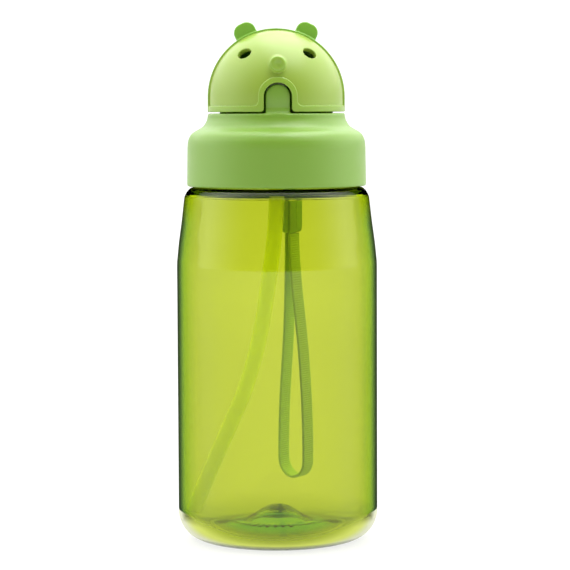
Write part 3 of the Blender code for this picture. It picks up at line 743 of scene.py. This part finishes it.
def make_bottle():
    profile, split = bottle_profile()
    rows = np.arange(len(profile))[:, None]

    def shape(r, z, a):
        """The neck's thread, and the bars under the base."""
        outer = rows >= split
        on_neck = outer & (z > 131.5) & (z < 143.7) & (r > 27.5)
        ridge = thread_lift(a, z, 134.5, 1.4, 0.9, 0.45)
        r = r + np.where(on_neck, ridge, 0)
        off_bar = np.abs(((a / (2 * math.pi) * BARS) % 1) - 0.5)
        bar = (off_bar < 0.16 + 0.10 * np.sin(a * 5)) & (np.sin(3 * a + 1) > -0.5)
        band = np.clip(1 - np.abs(r - BAR_RADIUS) / 1.6, 0, 1)
        z = z + np.where(outer & (z < 10) & (r < 20), -BAR_HEIGHT * bar * np.minimum(1, band * 2.5), 0)
        return r, z

    bottle, sources = lathe("bottle_shell", profile, 288, [clear_green], shape=shape)

    # skin marks the outer wall above the base, and corner the rounded edge of the foot
    skin = bottle.data.attributes.new("skin", "FLOAT", "FACE")
    low = np.array([p.center.z < 0.009 for p in bottle.data.polygons])
    skin.data.foreach_set("value", ((sources >= split - 1) & ~low).astype(np.float32))
    corner = bottle.data.attributes.new("corner", "FLOAT", "FACE")
    edge = np.array([p.center.z < 0.012 and math.hypot(p.center.x, p.center.y) > 0.025
                     for p in bottle.data.polygons])
    corner.data.foreach_set("value", ((sources >= split - 1) & edge).astype(np.float32))
    face_out(bottle)
    bottle.visible_shadow = False
    return bottle


bottle = make_bottle()
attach(bottle, "bottle")
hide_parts("bottle_body")


# ---------------------------------------------------------------- straw

STRAW_ROUTE = [(0.0, 142.6), (0.0, 136.0), (0.0, 129.5), (-0.2, 121.0), (-1.0, 110.0), (-2.3, 99.7),
               (-4.0, 88.2), (-6.8, 72.8), (-11.4, 56.4), (-16.9, 43.2), (-22.1, 31.6), (-27.3, 19.6),
               (-31.4, 9.9)]

STRAW_RADIUS, STRAW_BORE = 2.875, 2.375
straw = tube_mesh("hollow_straw", even(catmull([(x, 0.0, z) for x, z in STRAW_ROUTE], 8), 1.2),
                  STRAW_RADIUS, 40, [straw_mat], bore=STRAW_BORE)
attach(straw, "thread_carriage")
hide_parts("drinking_straw")


# ---------------------------------------------------------------- soft spout

LOWER_BEND = np.array([0.0, 0.0, 168.7])
MIDDLE_LENGTH, TIP_LENGTH = 7.5, 19.5
MIDDLE_LEAN, TIP_LEAN = math.radians(38.4), math.radians(153.1)
LOWER_TURN = 0.3489 * math.pi / 2     # how far each bend unfolds as the visor opens by 90 degrees
UPPER_TURN = 1.2322 * math.pi / 2


def leaning(lean):
    """The direction that leans forward from straight up by an angle."""
    return np.array([0.0, -math.sin(lean), math.cos(lean)])


UPPER_BEND = LOWER_BEND + MIDDLE_LENGTH * leaning(MIDDLE_LEAN)


def turned_about(points, centre, angle):
    """Points turned forward, towards -Y, about an X axis through a centre, each by its own angle."""
    y, z = points[:, 1] - centre[1], points[:, 2] - centre[2]
    c, s = np.cos(angle), np.sin(angle)
    return np.stack([points[:, 0], centre[1] + y * c - z * s, centre[2] + y * s + z * c], 1)


def folded(points, centre, turn, start, end):
    """Where an unfolded spout's points rest, so that the bend between two bodies unfolds them again."""
    along = end - start
    low, high = np.zeros(len(points)), np.ones(len(points))
    for _ in range(30):
        w = (low + high) / 2
        rest = turned_about(points, centre, w * turn)
        t = np.clip(((rest - start) @ along) / (along @ along), 0, 1)
        ahead = t * t * (3 - 2 * t) > w
        low, high = np.where(ahead, w, low), np.where(ahead, high, w)
    return turned_about(points, centre, (low + high) / 2 * turn)


def spout_skin(profile, bend, lean_below, lean_above, round_off):
    """A closed profile in (distance past a bend, radius), swept along an unfolded line that bends a little
    there, its rings turning over round_off either side."""
    sides = 48
    angles = np.linspace(0, 2 * math.pi, sides, endpoint=False)
    verts = []
    for run, radius in profile:
        t = np.clip(run / (2 * round_off) + 0.5, 0, 1)
        lean = lean_below + (lean_above - lean_below) * t
        spot = bend + run * leaning(lean_below if run < 0 else lean_above)
        side = np.array([0.0, math.cos(lean), math.sin(lean)])
        verts.append(spot + radius * (np.cos(angles)[:, None] * side
                                      + np.sin(angles)[:, None] * np.array([1.0, 0.0, 0.0])))
    rows = len(profile)
    faces = [[i * sides + k, i * sides + (k + 1) % sides, (i + 1) % rows * sides + (k + 1) % sides,
              (i + 1) % rows * sides + k] for i in range(rows) for k in range(sides)]
    return np.vstack(verts), faces


def dense(profile):
    """A closed profile with steps of 0.45 mm or less."""
    return spaced(np.array(profile + [profile[0]], float), 0.45)[:-1]


def make_spout():
    """Two soft pieces: the base through the cap's deck up to the first bend, and the folded mouthpiece."""
    seam = 3.0            # how far past the lower bend the base ends
    drop = LOWER_BEND[2]
    base = [(138.0 - drop, 3.2), (138.0 - drop, 4.2), (144.0 - drop, 4.2), (144.6 - drop, 5.4),
            (146.1 - drop, 5.6), (146.1 - drop, 4.2), (148.9 - drop, 4.2), (148.9 - drop, 8.3),
            (149.3 - drop, 8.5), (150.0 - drop, 8.2), (150.4 - drop, 5.6), (151.4 - drop, 4.5),
            (153.0 - drop, 3.9), (156.0 - drop, 3.7), (164.5 - drop, 3.6), (167.0 - drop, 3.35), (0.0, 3.2),
            (seam, 3.05), (seam, 1.9), (0.0, 1.9), (143.4 - drop, 2.2), (143.0 - drop, 3.2)]
    verts, faces = spout_skin(dense(base), LOWER_BEND, 0.0, MIDDLE_LEAN - LOWER_TURN, 2.0)
    start, end = LOWER_BEND - (0, 0, 1.8), LOWER_BEND + 1.8 * leaning(MIDDLE_LEAN)
    lower = new_mesh("spout_lower", folded(verts, LOWER_BEND, LOWER_TURN, start, end) * MM, faces, [silicone])
    face_out(lower)
    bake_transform(lower)
    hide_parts("spout_base", "spout_middle")

    first = seam - MIDDLE_LENGTH
    tip = [(first, 3.05), (-2.2, 2.8), (0.0, 2.7), (2.2, 2.8), (4.4, 3.2), (6.0, 3.4), (9.0, 3.5),
           (13.0, 3.4), (16.5, 3.2), (17.6, 3.25), (18.4, 3.5), (19.1, 3.45), (TIP_LENGTH, 3.1),
           (TIP_LENGTH, 2.2), (19.0, 1.9), (6.0, 1.7), (0.0, 1.6), (first, 1.9)]
    verts, faces = spout_skin(dense(tip), UPPER_BEND, MIDDLE_LEAN, TIP_LEAN - UPPER_TURN, 3.0)
    start = UPPER_BEND - 3.4 * leaning(MIDDLE_LEAN)
    end = UPPER_BEND + 3.4 * leaning(TIP_LEAN)
    upper = new_mesh("spout_upper", folded(verts, UPPER_BEND, UPPER_TURN, start, end) * MM, faces, [silicone])
    face_out(upper)
    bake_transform(upper)
    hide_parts("spout_tip")


make_spout()


# ---------------------------------------------------------------- visor with the bear's face

DOME_RADIUS, INSIDE_RADIUS = 24.1, 22.3
EYE = (11.8, 15.6)                    # where an eye hole's middle is, across and up from the hinge
EAR_ANGLE, EAR_DISTANCE = math.radians(25.5), 25.8


def ear_field(x, y, z, side):
    """A flat round-cornered tab standing out of the dome."""
    s, c = math.sin(side * EAR_ANGLE), math.cos(EAR_ANGLE)
    out = x * s + z * c
    across = x * c - z * s
    u = np.maximum(np.abs(across) - 0.75, 0)
    v = out - EAR_DISTANCE
    outline = np.hypot(u, np.where(v > 0, np.maximum(v - 0.35, 0), 0)) - 3.3
    return smooth_max(outline, np.abs(y - 2.25) - 1.25, 0.5)


def visor_field(x, y, z):
    """The dome with the bear's face, about the hinge's middle."""
    ball = np.sqrt(x * x + y * y + z * z)
    r = np.sqrt(x * x + y * y + np.maximum(z, 0) ** 2)

    # raised lip round the mouth and along the bottom edge, and a rib over the top
    raised = smooth_min(arch_2d(x, z, 6.9, 7.0) + np.where(y > 0, 20.0, 0.0), z + 3.2, 2.2)
    body = smooth_min(r - DOME_RADIUS, smooth_max(r - 24.65, raised, 0.22), 0.12)
    body = smooth_min(body, smooth_max(r - 24.9, np.abs(y) - 0.9, 0.25), 0.15)
    for side in (-1, 1):
        body = smooth_min(body, ear_field(x, y, z, side), 0.7)

    # nose knob with a dimple
    knob_r = np.hypot(x, z - 11.6)
    knob = smooth_max(smooth_max(knob_r - 2.85, -24.4 - y, 1.0), y, 0.1)
    knob = smooth_max(knob, 1.9 - np.sqrt(knob_r ** 2 + (y + 25.85) ** 2), 0.35)
    body = smooth_min(body, knob, 0.9)

    # hollow inside, with a trunnion on each side
    body = smooth_max(body, INSIDE_RADIUS - ball, 0.15)
    hinge = smooth_max(np.hypot(y, z) - 2.2, np.maximum(19.3 - np.abs(x), np.abs(x) - 23.1), 0.3)
    body = smooth_min(body, hinge, 0.3)

    # eye holes, cut along the line from the hinge's middle
    gaze_y = -math.sqrt(DOME_RADIUS ** 2 - EYE[0] ** 2 - EYE[1] ** 2)
    for side in (-1, 1):
        gx, gy, gz = side * EYE[0] / DOME_RADIUS, gaze_y / DOME_RADIUS, EYE[1] / DOME_RADIUS
        along = x * gx + y * gy + z * gz
        ax, ay = gy / math.hypot(gx, gy), -gx / math.hypot(gx, gy)
        wide = x * ax + y * ay
        tall = np.sqrt(np.maximum(ball * ball - along * along - wide * wide, 0))
        off = np.hypot(wide / 1.10, tall / 0.93)
        body = smooth_max(body, -np.maximum(off - 2.5, 8.0 - along), 0.35)

    # mouth, open below, and the visor's outline from the side
    opening = smooth_min(arch_2d(x, z, 4.97, 5.0) + np.where(y > -8, 20.0, 0.0), z + 5.4, 1.6)
    body = smooth_max(body, -opening, 0.3)
    side_view = np.hypot(np.maximum(y, 0), np.maximum(-z, 0)) - 5.4
    return smooth_max(body, side_view, 0.3)


visor = mesh_from_field("bear_visor", visor_field, (-26.28, -26.07, -6.87), (26.9, 7.3, 31.3), CELL_VISOR,
                        [visor_plastic_with_painted_light], offset=(0, 0, DOME))
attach(visor, "visor")
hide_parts("visor")


# ---------------------------------------------------------------- screw cap

def cap_outline():
    """The cap's section in (r, z): rim, shoulder and skirt outside, then the inside and the deck."""
    shoulder = catmull([(24.95, 154.9), (25.1, 153.9), (25.6, 152.6), (26.6, 151.15), (28.1, 150.1),
                        (29.6, 149.3), (31.0, 148.2), (31.85, 146.7), (32.25, 145.2), (32.4, 143.4)], 4)
    rim = [(23.75, 155.45), (23.95, 155.7), (24.25, 155.8), (24.6, 155.72), (24.85, 155.45)]
    outside = [*rim, *shoulder, (32.6, 130.2), (32.45, 129.6), (32.1, 129.4), (30.6, 129.4)]
    inside = [(30.2, 129.8), (30.2, 143.6), (29.4, 146.4), (4.6, 146.4), (4.6, 148.6), (22.4, 148.6),
              (23.1, 149.4), (23.4, 154.2), (23.6, 155.1)]
    return np.array([tuple(point) for point in outside + inside])


CAP_OUTLINE = cap_outline()


def cap_field(x, y, z):
    """The screw cap, about the visor hinge's middle."""
    height = z + DOME
    flat = np.hypot(x, y)
    r = np.sqrt(x * x + y * y + z * z)

    # collar and deck, with the thread inside
    turn = np.mod(np.arctan2(y, x), 2 * math.pi)
    ridge = thread_lift(turn, height, 132.5, 1.9, 0.9, 0.45)
    thread = np.maximum(30.2 - ridge - flat, flat - 31.0)
    thread = np.where((height > 131) & (height < 139.5), thread, 5.0)
    body = smooth_min(polygon_2d(flat, height, CAP_OUTLINE), thread, 0.2)

    # hood behind the spout, with a cheek on each side that holds a trunnion
    behind = smooth_min(smooth_min(4.5 - y, np.hypot(y, z) - 5.5, 0.3),
                        smooth_max(np.abs(y - 0.25) - 5.75, z, 0.1), 0.3)
    hood = smooth_max(smooth_max(r - 21.3, 19.7 - r, 0.3), behind, 0.3)
    hood = smooth_max(hood, -14.0 - z, 0.1)
    hood = smooth_max(hood, 2.5 - np.hypot(y, z), 0.2)
    body = smooth_min(body, hood, 0.6)

    # tongue that fills the bear's mouth and flares towards the collar
    lean = np.clip((-3.6 - z) / 2.6, 0, 1)
    flare = 0.9 * lean * lean * (3 - 2 * lean)
    tongue = smooth_max(np.abs(r - 22.65 - flare / 2) - 0.75 - flare / 2, arch_2d(x, z, 4.35, 4.4), 0.35)
    tongue = np.where(y < -8, smooth_max(tongue, -7.6 - z, 0.2), 9.0)
    body = smooth_min(body, tongue, 1.1)

    # lug for the strap's cord, and its eye
    lx, ly, lz = x - LUG[0], y - LUG[1], height - LUG[2]
    lug = smooth_max(np.hypot(ly, lz) - 2.3, np.abs(lx) - 1.6, 0.4)
    web = smooth_max(smooth_max(np.abs(ly + 1.4) - 1.4, np.abs(lz) - 2.2, 0.3), np.abs(lx) - 1.6, 0.4)
    body = smooth_min(body, smooth_min(lug, web, 0.4), 0.7)
    body = smooth_max(body, 1.4 - np.hypot(ly, lz) - np.where(np.abs(lx) > 3, 9, 0), 0.25)

    # hole for the vent valve
    vent = 2.2 - np.hypot(x, y - 12.5) + np.where((height > 144) & (height < 151), 0, -9.0)
    return smooth_max(body, vent, 0.15)


cap = mesh_from_field("screw_cap_shell", cap_field, (-33.56, -33.40, -32.74), (33.9, 37.0, 22.5), CELL_CAP,
                      [cap_plastic], offset=(0, 0, DOME))
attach(cap, "cap")
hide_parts("screw_cap")


# ---------------------------------------------------------------- floor and light

unlit = bpy.data.collections.new("without_body_gloss")


def leave_unlit(obj):
    """Keep the softbox's light off one object."""
    unlit.objects.link(obj)
    unlit.collection_objects[-1].light_linking.link_state = "EXCLUDE"


def add_softbox(name, place, target, size, energy):
    """A softbox for everything but the clear body and the floor."""
    light = bpy.data.lights.new(name, "AREA")
    light.shape = "RECTANGLE"
    light.size, light.size_y = size
    light.energy = energy
    obj = bpy.data.objects.new(name, light)
    bpy.context.scene.collection.objects.link(obj)
    aim = (Vector(target) - Vector(place)).to_track_quat("-Z", "Y").to_matrix().to_4x4()
    obj.matrix_world = Matrix.Translation(Vector(place)) @ aim
    obj.light_linking.receiver_collection = unlit


def add_world():
    """White light from behind the bottle, a little stronger from above."""
    world = bpy.data.worlds.new("studio")
    bpy.context.scene.world = world
    world.use_nodes = True
    n = Nodes(world.node_tree)
    direction = n.add("ShaderNodeTexCoord").outputs["Generated"]
    split = n.add("ShaderNodeSeparateXYZ", {"Vector": direction})
    level = n.span(split.outputs["Y"], -0.9, 0.1, 0.08, 1.9, smooth=True)
    lift = n.span(split.outputs["Z"], 0.15, 0.6, 1.0, 1.22)
    back = n.tree.nodes["Background"]
    n.put(back.inputs["Color"], (1, 1, 1))
    n.put(back.inputs["Strength"], n.math("MULTIPLY", level, lift))


def add_floor():
    """A pale sweep that glows nearly white, more so further back, and curves up behind the bottle."""
    n = Material("pale_floor")
    level = n.span(n.coordinate("Y"), 0.6, 1.3, 0.75, 0.90)
    n.principled(Base_Color=n.mix(n.noise(3, 2), (0.24, 0.24, 0.24), (0.26, 0.26, 0.26)), Roughness=0.6,
                 Specular_IOR_Level=0.1, Emission_Color=(1, 1, 1), Emission_Strength=level)
    reach, back_y, rise = 6.0, 1.1, 0.45
    line = [(-reach, 0.0), (back_y, 0.0)]
    line += [(back_y + rise * math.sin(a), rise - rise * math.cos(a))
             for a in np.radians(np.linspace(8, 90, 12))]
    line += [(back_y + rise, 0.6)]
    verts = [(x, y, z) for y, z in line for x in (-reach, reach)]
    faces = [[2 * i, 2 * i + 1, 2 * i + 3, 2 * i + 2] for i in range(len(line) - 1)]
    floor = new_mesh("floor", verts, faces, [n.mat])
    return floor


add_world()
leave_unlit(bottle)
leave_unlit(add_floor())
add_softbox("top_softbox", (0.14, 0.04, 0.85), (0, 0, 0.16), (1.0, 0.55), 4.9)
bpy.context.scene.view_settings.view_transform = "Standard"
